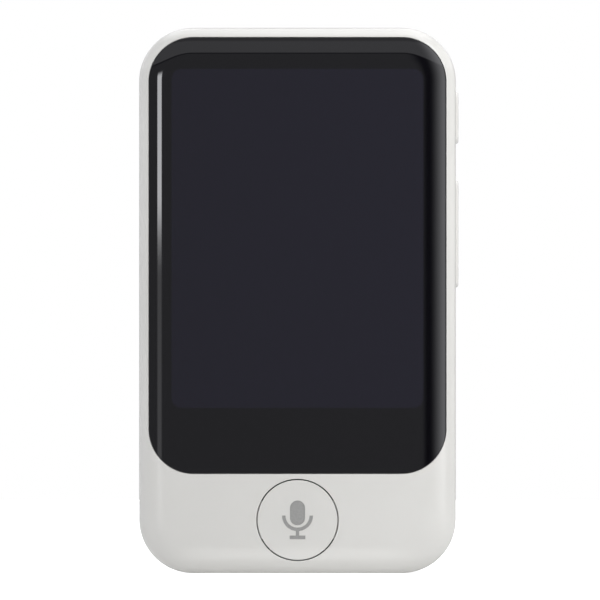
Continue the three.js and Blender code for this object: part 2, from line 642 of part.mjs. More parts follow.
function sideKeys() {
  const powerKey = assembly(HALF_WIDTH, KEY.y, POWER.z);
  place("power_key", sideKey(POWER.length, HALF_WIDTH, [0]), "pearl", powerKey);

  const rocker = assembly(ROCKER_PIVOT_X, KEY.y, VOLUME.z);
  const { radius, y } = ROCKER_RIB;
  const rib = join(
    rod("Y", [0, 0], radius, y, 12),
    block([0, FLANGE.x[0] + 0.1 - ROCKER_PIVOT_X], y, [-radius, radius]),
  );
  const nubs = [-VOLUME.nubs, VOLUME.nubs];
  place("volume_rocker", join(sideKey(VOLUME.length, ROCKER_PIVOT_X, nubs), rib), "pearl", rocker);

  const { plate, foot, flex, z: keysZ } = SIDE_BOARD;
  const footY = [MID_FRAME.y[1] + TOUCH, SIDE_BOARD_Y.footTop];
  const bracket = join(
    block(plate, SIDE_BOARD_Y.plate, keysZ),
    block([foot, plate[1]], footY, keysZ),
  );
  place("side_key_bracket", bracket, "steel");
  place("side_key_flex", block([plate[1] + TOUCH, flex], SIDE_BOARD_Y.flex, keysZ), "flex");
  const domes = {
    power_dome: POWER.z,
    volume_up_dome: VOLUME.z + VOLUME.nubs,
    volume_down_dome: VOLUME.z - VOLUME.nubs,
  };
  for (const [name, z] of Object.entries(domes)) {
    const mesh = place(name, snapDome(SIDE_DOME.radius, SIDE_DOME.height), "steel");
    mesh.rotation.z = QUARTER;
    mesh.position.set(flex + TOUCH, KEY.y, z);
  }
}

// ---------------------------------------------------------------- card tray

const SOCKET = { x: [-23.6, -10.8], y: [-1.9, BOARD_Y[0] - TOUCH], over: 0.9, end: 0.3 };

function cardTray() {
  const tray = assembly(0, 0, TRAY.z);
  const faceX = [-HALF_WIDTH, TRAY.thick - HALF_WIDTH];
  const face = extrude(roundedRect(TRAY_Y.face, about(0, TRAY.face), TRAY_CORNER), "X", faceX);
  const carrier = block([faceX[1] - 0.1, TRAY.inner], TRAY_Y.carrier, about(0, TRAY.carrier));
  const cardZ = about(0, CARD.width);
  const pocket = block(grow(CARD.x, 0.1), [CARD.y[0] - TOUCH, 0], grow(cardZ, 0.1));
  const pinHole = rod("X", [TRAY_PIN.y, TRAY_PIN.z], TRAY_PIN.radius, grow(faceX, 1), 12);
  place("card_tray", cut(join(face, carrier), pocket, pinHole), "pearl", tray);
  place("sim_card", block(CARD.x, CARD.y, cardZ), "card", tray);

  const channelX = [-FAR, SOCKET.x[1] - SOCKET.end];
  const channel = block(channelX, grow(TRAY_Y.carrier, 0.1), about(TRAY.z, TRAY.carrier + 0.3));
  const socket = block(SOCKET.x, SOCKET.y, about(TRAY.z, TRAY.carrier + SOCKET.over));
  place("card_socket", socket.subtract(channel), "steel");
}

// ---------------------------------------------------------------- port, loudspeaker, microphones, camera

const PORT_ROOT = { width: 7.0, height: 2.1, z: [5.9, PORT.z[1] - PORT.sheet - TOUCH] };
const PORT_TONGUE = { width: 6.7, height: 0.7, z: [1.2, 6.0] };

function chargingPort() {
  const port = assembly(0, PORT.y, 0);
  const inside = [PORT.z[0] - 1, PORT.z[1] - PORT.sheet];
  const bore = extrude(portOutline(-PORT.sheet, 0), "Z", inside);
  place("usb_shell", extrude(portOutline(0, 0), "Z", PORT.z).subtract(bore), "steel", port);
  const bars = [PORT_ROOT, PORT_TONGUE].map(({ width, height, z }) =>
    block(about(0, width), about(0, height), z),
  );
  place("usb_tongue", join(...bars), "nylon", port);
}

// The loudspeaker's layers: how far each is inside the frame's outline, and its range in Y.
const SPEAKER_LAYERS = {
  hollow: { inset: 1.0, y: [0.85, 5.1] },
  magnet: { inset: 2.3, y: [0.95, 2.65] },
  film: { inset: 1.15, y: [3.25, 3.45] },
  plate: { inset: 2.6, y: [3.35, 3.7] },
};
const SPEAKER_MESH = { x: [7.4, 17.6], y: [-1.3, 1.3], z: [WALL + 0.1, WALL + 0.3] };

function loudspeaker() {
  const layer = ({ inset, y }) => {
    const basin = roundedRect(grow(SPEAKER.x, -inset), grow(SPEAKER.z, -inset), SPEAKER.corner);
    return extrude(basin, "Y", y, { arcs: 2 });
  };
  const { hollow, magnet, film, plate } = SPEAKER_LAYERS;
  place("speaker_frame", layer({ inset: 0, y: SPEAKER.y }).subtract(layer(hollow)), "nylon");
  place("speaker_magnet", layer(magnet), "steel");
  place("speaker_diaphragm", join(layer(film), layer(plate)), "rubber");
  place("speaker_mesh", block(SPEAKER_MESH.x, SPEAKER_MESH.y, SPEAKER_MESH.z), "steel");
}

// Each microphone's can and rubber boot in Z, one behind each microphone hole.
const MICROPHONES = {
  lower_microphone: { x: MIC.lowerX, can: [3.0, 5.8], boot: [WALL + 0.1, 2.9] },
  upper_microphone: { x: MIC.upperX, can: [84.5, 87.3], boot: [87.4, BODY.height - WALL - 0.1] },
};
const MIC_CAN = { width: 3.5, y: [-1.5, BOARD_Y[0] - TOUCH] };
const MIC_BOOT = { width: 2.6, deep: 0.9, bore: 0.3 };

function microphones() {
  for (const [name, { x, can, boot }] of Object.entries(MICROPHONES)) {
    place(name, block(about(x, MIC_CAN.width), MIC_CAN.y, can), "steel");
    const rubber = block(about(x, MIC_BOOT.width), about(MIC.y, MIC_BOOT.deep), boot);
    const bore = rod("Z", [x, MIC.y], MIC_BOOT.bore, grow(boot, 1), 12);
    place(`${name}_boot`, rubber.subtract(bore), "rubber");
  }
}

const CAMERA_Y = { housing: 3.2, barrel: 4.6, bore: 3.9, ring: 4.72, window: [4.85, REAR_Y - 0.15] };
const FLASH_LED = { size: 1.8, back: 1.1 };
const FLASH_LENS_Y = [1.3, REAR_Y - 0.05];

function camera() {
  const eye = assembly(CAMERA.x, 0, CAMERA.z);
  const centred = (radius, y, sides) => rod("Y", [0, 0], radius, y, sides);
  const square = about(0, CAMERA.size);
  const housing = block(square, [COMPONENT_FRONT, CAMERA_Y.housing], square);
  const barrel = centred(CAMERA.barrel, [CAMERA_Y.housing - 0.1, CAMERA_Y.barrel], 32);
  const bore = centred(CAMERA.bore, [CAMERA_Y.bore, REAR_Y], 24);
  place("camera_module", join(housing, barrel).subtract(bore), "chip", eye);
  const ring = centred(CAMERA.ring, [CAMERA_Y.ring, REAR_Y], 32);
  const ringBore = centred(CAMERA.window + TOUCH, grow([CAMERA_Y.ring, REAR_Y], 1), 32);
  place("camera_ring", ring.subtract(ringBore), "steel", eye);
  place("camera_window", centred(CAMERA.window, CAMERA_Y.window, 32), "lens", eye);

  const flash = assembly(FLASH.x, 0, FLASH.z);
  const led = about(0, FLASH_LED.size);
  place("flash_led", block(led, [COMPONENT_FRONT, FLASH_LED.back], led), "amber", flash);
  place("flash_lens", centred(FLASH.radius, FLASH_LENS_Y, 20), "amber", flash);
}

// ---------------------------------------------------------------- the whole object

place("front_housing", frontHousing(), "pearl");
place("rear_cover", rearCover(), "pearl");
displayStack();
displayCable();
place("mid_frame", midFrame(), "steel");
boards();
components();
linkAndAntenna();
battery();
talkKey();
sideKeys();
cardTray();
chargingPort();
loudspeaker();
microphones();
camera();

export default translator;
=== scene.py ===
import json
import math

import bmesh
import bpy
import numpy as np
from mathutils import Matrix, Vector


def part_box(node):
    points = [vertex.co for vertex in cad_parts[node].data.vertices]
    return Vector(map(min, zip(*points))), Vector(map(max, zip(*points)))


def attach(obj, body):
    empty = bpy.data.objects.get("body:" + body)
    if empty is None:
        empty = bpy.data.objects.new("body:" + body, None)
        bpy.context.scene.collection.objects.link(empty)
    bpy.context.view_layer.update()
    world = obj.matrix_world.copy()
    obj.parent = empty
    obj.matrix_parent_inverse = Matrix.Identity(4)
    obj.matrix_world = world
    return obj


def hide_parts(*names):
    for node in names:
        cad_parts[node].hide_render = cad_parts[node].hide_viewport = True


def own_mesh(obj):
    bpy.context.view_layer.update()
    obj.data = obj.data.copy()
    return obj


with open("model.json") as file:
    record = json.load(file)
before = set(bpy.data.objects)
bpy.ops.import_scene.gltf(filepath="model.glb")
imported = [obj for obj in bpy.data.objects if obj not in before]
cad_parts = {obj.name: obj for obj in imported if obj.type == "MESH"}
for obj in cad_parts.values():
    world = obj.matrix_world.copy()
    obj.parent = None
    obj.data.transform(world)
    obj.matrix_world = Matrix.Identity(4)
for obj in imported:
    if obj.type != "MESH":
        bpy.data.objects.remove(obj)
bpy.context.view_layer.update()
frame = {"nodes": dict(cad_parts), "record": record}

MM = 0.001


def box_mm(node):
    low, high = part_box(node)
    return np.array(low) / MM, np.array(high) / MM


# ---------------------------------------------------------------- sizes from the frame

front_low, front_high = box_mm("front_housing")
rear_low, rear_high = box_mm("rear_cover")
glass_low, glass_high = box_mm("cover_glass")
talk_low, talk_high = box_mm("talk_button")

FRONT_Y, REAR_Y = front_low[1], rear_high[1]
HALF_WIDTH, HEIGHT = front_high[0], front_high[2]
CORNER = 9.0  # radius of the casing's corners, seen from the front
CROWN = 6.0  # width of the casing's elliptical edges, seen from the front
FRONT_CROWN, REAR_CROWN = 2.4, 4.0  # their depths
WALL = 1.25
PARTING_Y = -2.3
ALMOST = 0.01  # how much a fully round end's radius falls short of half its width
COVER_Y = rear_low[1]

GLASS_BACK = glass_high[1]
GLASS_UPPER, GLASS_LOWER = 7.4, 7.5  # corner radii of the cover glass
SEAT_Y, SEAT_BACK = -4.45, -3.75  # the ledge behind the cover glass

TALK_Z = (box_mm("talk_dome")[0][2] + box_mm("talk_dome")[1][2]) / 2
TALK_RADIUS = (talk_high[2] - talk_low[2]) / 2
TALK_GAP, TALK_BACK = 0.2, -3.95

BODY = ((-HALF_WIDTH, HALF_WIDTH), (0.0, HEIGHT))
GLASS = ((glass_low[0], glass_high[0]), (glass_low[2], glass_high[2]))


# ---------------------------------------------------------------- outlines, lofts and cuts


def grown(box, by):
    """A pair of ranges, each longer by `by` at both its ends."""
    return tuple((low - by, high + by) for low, high in box)


def rounded(box, lower, upper=None, steps=12):
    """The outline of a rectangle with round corners, as points in its two axes."""
    (u0, u1), (v0, v1) = box
    upper = lower if upper is None else upper
    corners = [
        (u1 - lower, v0 + lower, lower, -90),
        (u1 - upper, v1 - upper, upper, 0),
        (u0 + upper, v1 - upper, upper, 90),
        (u0 + lower, v0 + lower, lower, 180),
    ]
    points = []
    for u, v, radius, start in corners:
        for i in range(steps + 1):
            turn = math.radians(start + 90 * i / steps)
            points.append((u + radius * math.cos(turn), v + radius * math.sin(turn)))
    return points


def circle(u, v, radius, steps=48):
    turns = [2 * math.pi * i / steps for i in range(steps)]
    return [(u + radius * math.cos(t), v + radius * math.sin(t)) for t in turns]


def at(axis, points, w):
    """Points of the two axes across `axis`, placed at w along it."""
    if axis == "X":
        return [(w, u, v) for u, v in points]
    if axis == "Y":
        return [(u, w, v) for u, v in points]
    return [(u, v, w) for u, v in points]


def mesh_of(vertices, faces):
    mesh = bpy.data.meshes.new("made")
    mesh.from_pydata([tuple(v) for v in vertices], [], faces)
    shape = bmesh.new()
    shape.from_mesh(mesh)
    bmesh.ops.remove_doubles(shape, verts=shape.verts, dist=1e-5)
    bmesh.ops.recalc_face_normals(shape, faces=shape.faces)
    shape.to_mesh(mesh)
    shape.free()
    return mesh


def loft(rings):
    """A closed mesh through rings of equal length, with a flat face over the first and the last."""
    count = len(rings[0])
    vertices = [p for ring in rings for p in ring]
    faces = [tuple(range(count)), tuple(len(vertices) - count + i for i in range(count))]
    for r in range(len(rings) - 1):
        for i in range(count):
            j = (i + 1) % count
            a, b = r * count, (r + 1) * count
            faces.append((a + i, a + j, b + j, b + i))
    return mesh_of(vertices, faces)


def rounded_loft(axis, box, profile, lower, upper=None, steps=12):
    """A loft of one rounded outline, drawn in by each inset of `profile`, a list of (inset, w)."""
    upper = lower if upper is None else upper
    least = 0.02
    rings = []
    for inset, w in profile:
        radii = max(lower - inset, least), max(upper - inset, least)
        rings.append(at(axis, rounded(grown(box, -inset), *radii, steps), w))
    return loft(rings)


def round_loft(axis, u, v, profile, steps=48):
    """A loft of circles: `profile` is a list of (radius, w)."""
    return loft([at(axis, circle(u, v, radius, steps), w) for radius, w in profile])


def block(x, y, z):
    return loft([at("Y", [(x[0], z[0]), (x[1], z[0]), (x[1], z[1]), (x[0], z[1])], w) for w in y])


def edge_round(inset, w, radius, sign, steps=5):
    """Profile points of a rounded edge that ends `radius` further in, at w."""
    turns = [math.radians(90 * i / steps) for i in range(steps + 1)]
    return [(inset + radius * (1 - math.cos(t)), w - sign * radius * (1 - math.sin(t))) for t in turns]


def crown(edge_y, deep, sign, inset=0.0, across=CROWN, steps=20):
    """Profile points of the casing's elliptical edge, from its side to its flat face."""
    turns = [math.radians(90 * i / steps) for i in range(steps + 1)]
    return [(inset + across * (1 - math.cos(t)), edge_y + sign * deep * math.sin(t)) for t in turns]


def joined(meshes):
    """Separate meshes as one, for a cutter that cuts in several places."""
    shape = bmesh.new()
    for mesh in meshes:
        shape.from_mesh(mesh)
    whole = bpy.data.meshes.new("joined")
    shape.to_mesh(whole)
    shape.free()
    return whole


def boolean(mesh, other, operation):
    target = bpy.data.objects.new("target", mesh)
    tool = bpy.data.objects.new("tool", other)
    for one in (target, tool):
        bpy.context.scene.collection.objects.link(one)
    modifier = target.modifiers.new("boolean", "BOOLEAN")
    modifier.object = tool
    modifier.operation = operation
    modifier.solver = "EXACT"
    graph = bpy.context.evaluated_depsgraph_get()
    made = bpy.data.meshes.new_from_object(target.evaluated_get(graph))
    for one in (target, tool):
        bpy.data.objects.remove(one)
    return made


def cut(mesh, *tools):
    for tool in tools:
        mesh = boolean(mesh, tool, "DIFFERENCE")
    return mesh


def join(mesh, *others):
    for other in others:
        mesh = boolean(mesh, other, "UNION")
    return mesh


def bevelled(mesh, chosen, width):
    """Rounds the sharp edges for which chosen(middle) is true."""
    sharp = 0.6
    shape = bmesh.new()
    shape.from_mesh(mesh)
    bmesh.ops.dissolve_degenerate(shape, dist=1e-4, edges=shape.edges)
    edges = [e for e in shape.edges if len(e.link_faces) == 2 and e.calc_face_angle(0) > sharp]
    edges = [e for e in edges if chosen((e.verts[0].co + e.verts[1].co) / 2)]
    bmesh.ops.bevel(
        shape,
        geom=edges,
        offset=width,
        offset_type="OFFSET",
        segments=3,
        profile=0.5,
        affect="EDGES",
        clamp_overlap=True,
    )
    shape.to_mesh(mesh)
    shape.free()
    return mesh


# ---------------------------------------------------------------- the casing's outer surface


def outward(x, z):
    """How far a point is inside the casing's outline, and the outward direction there, both in X and Z."""
    u, v = np.abs(x), np.abs(z - HEIGHT / 2)
    corner_u, corner_v = u - (HALF_WIDTH - CORNER), v - (HEIGHT / 2 - CORNER)
    in_corner = (corner_u > 0) & (corner_v > 0)
    length = np.maximum(np.hypot(corner_u, corner_v), 1e-9)
    depth = np.where(in_corner, CORNER - length, CORNER - np.maximum(corner_u, corner_v))
    side = corner_u > corner_v
    du = np.where(in_corner, corner_u / length, np.where(side, 1.0, 0.0)) * np.sign(x)
    dv = np.where(in_corner, corner_v / length, np.where(side, 0.0, 1.0)) * np.sign(z - HEIGHT / 2)
    return depth, du, dv


def face_y(x, z):
    """The outer surface's Y over points of the front face."""
    depth, _, _ = outward(np.asarray(x, float), np.asarray(z, float))
    share = np.clip((CROWN - depth) / CROWN, 0, 1)
    rise = 1 - np.sqrt(np.clip(1 - share**2, 0, 1))
    return FRONT_Y + FRONT_CROWN * rise


def casing_normals(points):
    """(how far off the outer surface each point is, the surface's normal there)."""
    x, y, z = points.T
    depth, du, dv = outward(x, z)
    share = np.clip((CROWN - depth) / CROWN, 0, 1)
    front_edge, rear_edge = FRONT_Y + FRONT_CROWN, REAR_Y - REAR_CROWN
    through = np.where(y < front_edge, (y - front_edge) / FRONT_CROWN, (y - rear_edge) / REAR_CROWN)
    through = np.where((y >= front_edge) & (y <= rear_edge), 0.0, through)
    deep = np.where(y < front_edge, FRONT_CROWN, REAR_CROWN)
    mean_radius = 3  # turns the ellipse's relative error into about millimetres
    off = np.abs(np.sqrt(share**2 + through**2) - 1) * mean_radius
    normal = np.stack([share / CROWN * du, through / deep, share / CROWN * dv], 1)
    return off, normal / np.maximum(np.linalg.norm(normal, axis=1, keepdims=True), 1e-9)


def shade(mesh, on_casing):
    """Smooth shading with sharp edges, and exact normals on the casing's outer surface."""
    sharp, border = math.radians(35), 9.0
    near_surface, along_surface = 0.02, 0.85
    shape = bmesh.new()
    shape.from_mesh(mesh)
    for edge in shape.edges:
        edge.smooth = len(edge.link_faces) == 2 and edge.calc_face_angle(border) < sharp
    for face in shape.faces:
        face.smooth = True
    shape.to_mesh(mesh)
    shape.free()
    if not on_casing:
        return
    points = np.empty(len(mesh.vertices) * 3)
    mesh.vertices.foreach_get("co", points)
    off, exact = casing_normals(points.reshape(-1, 3))
    normals = np.empty(len(mesh.loops) * 3)
    mesh.corner_normals.foreach_get("vector", normals)
    normals = normals.reshape(-1, 3)
    for polygon in mesh.polygons:
        corners = list(polygon.vertices)
        mean = exact[corners].mean(0)
        if off[corners].max() < near_surface and mean @ np.array(polygon.normal) > along_surface:
            normals[list(polygon.loop_indices)] = exact[corners]
    mesh.normals_split_custom_set(normals.tolist())


# ---------------------------------------------------------------- making a piece


def piece(name, mesh, material, body, replaces=(), on_casing=False):
    """Makes an object of a mesh drawn in millimetres, gives it its material, ties it to its body and hides
    the frame nodes it replaces.
    """
    shade(mesh, on_casing)
    mesh.transform(Matrix.Scale(MM, 4))
    mesh.name = name
    mesh.materials.clear()
    mesh.materials.append(material)
    made = bpy.data.objects.new(name, mesh)
    bpy.context.scene.collection.objects.link(made)
    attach(made, body)
    if replaces:
        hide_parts(*replaces)
    return made


# ---------------------------------------------------------------- materials


class Nodes:
    """A material's node tree, with short calls for the nodes used here."""

    def __init__(self, tree):
        self.tree = tree

    def add(self, kind, **settings):
        node = self.tree.nodes.new(kind)
        for name, value in settings.items():
            setattr(node, name, value)
        return node

    def link(self, source, target):
        if hasattr(source, "is_output"):
            self.tree.links.new(source, target)
        else:
            target.default_value = source

    def math(self, operation, a, b=0.0):
        node = self.add("ShaderNodeMath", operation=operation)
        self.link(a, node.inputs[0])
        self.link(b, node.inputs[1])
        return node.outputs[0]

    def vector_math(self, operation, a, b):
        node = self.add("ShaderNodeVectorMath", operation=operation)
        self.link(a, node.inputs[0])
        self.link(b, node.inputs[1])
        return node.outputs[0]

    def ranged(self, value, low, high, to_low=0.0, to_high=1.0):
        node = self.add("ShaderNodeMapRange", interpolation_type="SMOOTHSTEP")
        self.link(value, node.inputs["Value"])
        node.inputs["From Min"].default_value = low
        node.inputs["From Max"].default_value = high
        node.inputs["To Min"].default_value = to_low
        node.inputs["To Max"].default_value = to_high
        return node.outputs[0]

    def mix(self, share, a, b):
        node = self.add("ShaderNodeMix", data_type="RGBA")
        self.link(share, node.inputs["Factor"])
        self.link(a, node.inputs[6])
        self.link(b, node.inputs[7])
        return node.outputs[2]

    def noise(self, position, scale, detail=3.0, roughness=0.5):
        node = self.add("ShaderNodeTexNoise")
        self.link(position, node.inputs["Vector"])
        node.inputs["Scale"].default_value = scale
        node.inputs["Detail"].default_value = detail
        node.inputs["Roughness"].default_value = roughness
        return node.outputs["Fac"]

    def bump(self, height, distance, strength=1.0):
        node = self.add("ShaderNodeBump")
        node.inputs["Strength"].default_value = strength
        node.inputs["Distance"].default_value = distance
        self.link(height, node.inputs["Height"])
        return node.outputs[0]


def surface(name, **shader_values):
    """A new material: its node helper, its shader, and the position on the object in metres."""
    material = bpy.data.materials.new(name)
    material.use_nodes = True
    nodes = Nodes(material.node_tree)
    shader = material.node_tree.nodes["Principled BSDF"]
    for socket, value in shader_values.items():
        shader.inputs[socket.replace("_", " ")].default_value = value
    position = nodes.add("ShaderNodeTexCoord").outputs["Object"]
    return material, nodes, shader, position


def rgb(*values):
    """A linear colour from red, green and blue of 0 to 255 on the sRGB scale."""
    linear = [v / 255 / 12.92 if v <= 10 else ((v / 255 + 0.055) / 1.055) ** 2.4 for v in values]
    return (*linear, 1.0)


def pearl_plastic():
    """White moulded casing plastic: slow colour drift, a fine satin texture and a thin clear coat."""
    material, n, shader, position = surface(
        "pearl_plastic", Coat_Weight=1.0, Coat_Roughness=0.13, Coat_IOR=1.45, Specular_IOR_Level=0.3
    )
    drift = n.noise(position, 45, 2.0)
    colour = n.mix(n.ranged(drift, 0.3, 0.7), rgb(219, 218, 214), rgb(222, 221, 217))
    n.link(colour, shader.inputs["Base Color"])
    grain = n.noise(position, 9000, 2.0)
    n.link(n.ranged(n.noise(position, 1500, 4.0), 0.3, 0.7, 0.28, 0.36), shader.inputs["Roughness"])
    n.link(n.bump(grain, 0.000004, 0.35), shader.inputs["Normal"])
    return material


def active_area(n, position):
    """1 on the display's active area, with its round corners, and 0 round it."""
    low, high = box_mm("display_panel")
    side, top, bottom, corner, softness = 1.5, 1.6, 3.8, 1.7, 0.06
    split = n.add("ShaderNodeSeparateXYZ")
    n.link(position, split.inputs[0])
    past_square = []
    for along, start, end in (
        (split.outputs[0], low[0] + side, high[0] - side),
        (split.outputs[2], low[2] + bottom, high[2] - top),
    ):
        from_middle = n.math("ABSOLUTE", n.math("SUBTRACT", along, (start + end) / 2 * MM))
        reach = n.math("SUBTRACT", from_middle, ((end - start) / 2 - corner) * MM)
        reach = n.math("MAXIMUM", reach, 0.0)
        past_square.append(n.math("MULTIPLY", reach, reach))
    distance = n.math("SQRT", n.math("ADD", *past_square))
    return n.ranged(distance, (corner - softness) * MM, (corner + softness) * MM, 1.0, 0.0)


def display_glass():
    """The cover glass: black print behind it, the unlit display just lighter, faint wiping marks."""
    material, n, shader, position = surface("display_glass", Coat_Weight=0.0, IOR=1.5)
    border, unlit = (0.0042, 0.0040, 0.0054, 1.0), (0.0082, 0.0076, 0.0150, 1.0)
    n.link(n.mix(active_area(n, position), border, unlit), shader.inputs["Base Color"])
    smear = n.noise(position, 120, 5.0, 0.6)
    n.link(n.ranged(smear, 0.35, 0.75, 0.02, 0.045), shader.inputs["Roughness"])
    return material


def printed_grey():
    material, n, shader, position = surface("printed_grey", Coat_Weight=0.2, Coat_Roughness=0.2)
    speck = n.noise(position, 6000, 3.0)
    colour = n.mix(n.ranged(speck, 0.3, 0.7), rgb(148, 148, 146), rgb(158, 158, 156))
    n.link(colour, shader.inputs["Base Color"])
    n.link(n.ranged(speck, 0.3, 0.7, 0.4, 0.5), shader.inputs["Roughness"])
    return material


def brushed(name, dark, light, rough=(0.25, 0.4), scale=900):
    """A metal with fine brush lines: noise squeezed along one axis."""
    stretch = (1, 40, 1)
    material, n, shader, position = surface(name, Metallic=1.0)
    lines = n.noise(n.vector_math("MULTIPLY", position, stretch), scale, 4.0, 0.6)
    n.link(n.mix(n.ranged(lines, 0.3, 0.7), dark, light), shader.inputs["Base Color"])
    n.link(n.ranged(lines, 0.25, 0.75, *rough), shader.inputs["Roughness"])
    n.link(n.bump(lines, 0.000006, 0.4), shader.inputs["Normal"])
    return material


def speckled(name, dark, light, scale=1500, rough=(0.45, 0.6), bump=0.00001, **shader_values):
    """A moulded or printed finish: two close colours mixed by fine noise."""
    material, n, shader, position = surface(name, **shader_values)
    spots = n.noise(position, scale, 4.0, 0.6)
    n.link(n.mix(n.ranged(spots, 0.35, 0.65), dark, light), shader.inputs["Base Color"])
    n.link(n.ranged(spots, 0.3, 0.7, *rough), shader.inputs["Roughness"])
    n.link(n.bump(spots, bump, 0.5), shader.inputs["Normal"])
    return material


PEARL = pearl_plastic()
GLASS_MATERIAL = display_glass()
GREY = printed_grey()
STEEL = brushed("brushed_steel", rgb(150, 152, 156), rgb(190, 192, 196))
POLISHED = brushed("polished_ring", rgb(150, 150, 152), rgb(176, 176, 178), rough=(0.12, 0.2), scale=500)
GOLD = speckled("gold_contacts", rgb(205, 165, 88), rgb(226, 190, 112), rough=(0.22, 0.34), Metallic=1.0)
NYLON = speckled("black_nylon", rgb(28, 28, 30), rgb(36, 36, 38))
RUBBER = speckled("black_rubber", rgb(22, 22, 22), rgb(30, 30, 30), rough=(0.7, 0.85))
CHIP = speckled("chip_epoxy", rgb(24, 24, 26), rgb(34, 34, 36), scale=3000)
BOARD = speckled("solder_mask", rgb(18, 66, 44), rgb(26, 82, 56), scale=400, rough=(0.3, 0.45))
FLEX = speckled("polyimide_flex", rgb(160, 92, 24), rgb(186, 112, 34), scale=300, rough=(0.3, 0.45))
FOIL = speckled(
    "battery_foil", rgb(120, 123, 128), rgb(146, 149, 154), scale=250, rough=(0.3, 0.5), Metallic=0.6
)
CELL = speckled("display_cell", rgb(18, 18, 22), rgb(24, 24, 28), scale=500, rough=(0.15, 0.25))
TRAY = brushed("backlight_tray", rgb(150, 152, 155), rgb(186, 188, 190), rough=(0.3, 0.45))
TAPE = speckled("foam_tape", rgb(20, 20, 20), rgb(34, 34, 34), scale=5000, rough=(0.8, 0.95))
LENS = speckled("camera_glass", rgb(6, 6, 9), rgb(9, 9, 14), scale=200, rough=(0.02, 0.04), bump=0.0)
PHOSPHOR = speckled("flash_phosphor", rgb(214, 196, 110), rgb(236, 222, 150), scale=2500, rough=(0.3, 0.4))
CARD = speckled("card_plastic", rgb(228, 228, 230), rgb(238, 238, 240), scale=800)


# ---------------------------------------------------------------- casing

CORNER_STEPS = 24  # segments in each corner of the casing and of the glass
FINE, ROUND, COARSE, SMALL = 96, 64, 32, 24  # segments in a circle, by its size
PAST = 1.0  # how far a cutter reaches past the face it cuts

CHIN_POCKET, CHIN_CORNER = ((-20, 20), (3.0, 15.6)), 5.5  # the hollow behind the chin
WINDOW_CORNER = 1.4  # of the opening behind the display
GLASS_GAP, PANEL_GAP, LENS_GAP = 0.08, 0.25, 0.06
KEY_GAP, PORT_GAP = 0.15, 0.16
MOUTH_CHAMFER, MOUTH_FLARE = 0.06, 0.6  # of the talk button's hole

# The gaps in the lip beside the side keys, the card tray and the port, in X and in Z.
LIP_GAPS = [
    ((HALF_WIDTH - 4, HALF_WIDTH - WALL), (45.5, 83)),
    ((WALL - HALF_WIDTH, 4 - HALF_WIDTH), (61.5, 76.5)),
    ((-5.6, 5.6), (WALL, 4)),
]
# The bosses that the screws go into: the screw, what it holds, the boss's radius, its bore's radius, and
# how far behind the front of the seat it starts.
BOSSES = [
    ("board_screw_3", "lower_board", 1.6, 0.6, 0.15),
    ("board_screw_4", "lower_board", 1.6, 0.6, 0.15),
    ("talk_screw_left", "talk_switch_board", 1.25, 0.5, -0.15),
    ("talk_screw_right", "talk_switch_board", 1.25, 0.5, -0.15),
]
BOSS_GAP, BORE_START = 0.04, 0.2

KEY_RADIUS = 1.29
KEY_OVER_Y, KEY_OVER_Z = 0.35, 0.65  # how far a side key's flange stands out round its outline
SPEAKER_SLOTS = [8.4 + 2.0 * i for i in range(5)]
SLOT_HALF_X, SLOT_HALF_Y = 0.55, 0.95
MICROPHONE_HOLE, MICROPHONE_Y = 0.5, -0.97


def disc_grid(radii):
    """Rings round the talk button's axis whose Y is the casing's outer surface, plus an offset."""
    rings = []
    for radius, lift in radii:
        points = circle(0, TALK_Z, radius, FINE)
        heights = face_y([p[0] for p in points], [p[1] for p in points])
        rings.append([(u, float(h) + lift, v) for (u, v), h in zip(points, heights)])
    return rings


def talk_hole():
    """The cutter for the talk button's hole, with a small chamfer round its mouth."""
    hole, flare = TALK_RADIUS + TALK_GAP, TALK_RADIUS + TALK_GAP + MOUTH_FLARE
    rings = [at("Y", circle(0, TALK_Z, hole, FINE), PARTING_Y - 0.2)]
    rings += disc_grid(
        [(hole, MOUTH_CHAMFER), (hole + MOUTH_CHAMFER, 0.0), (flare, MOUTH_CHAMFER - MOUTH_FLARE)]
    )
    rings.append(at("Y", circle(0, TALK_Z, flare, FINE), FRONT_Y - 2 * PAST))
    return loft(rings)


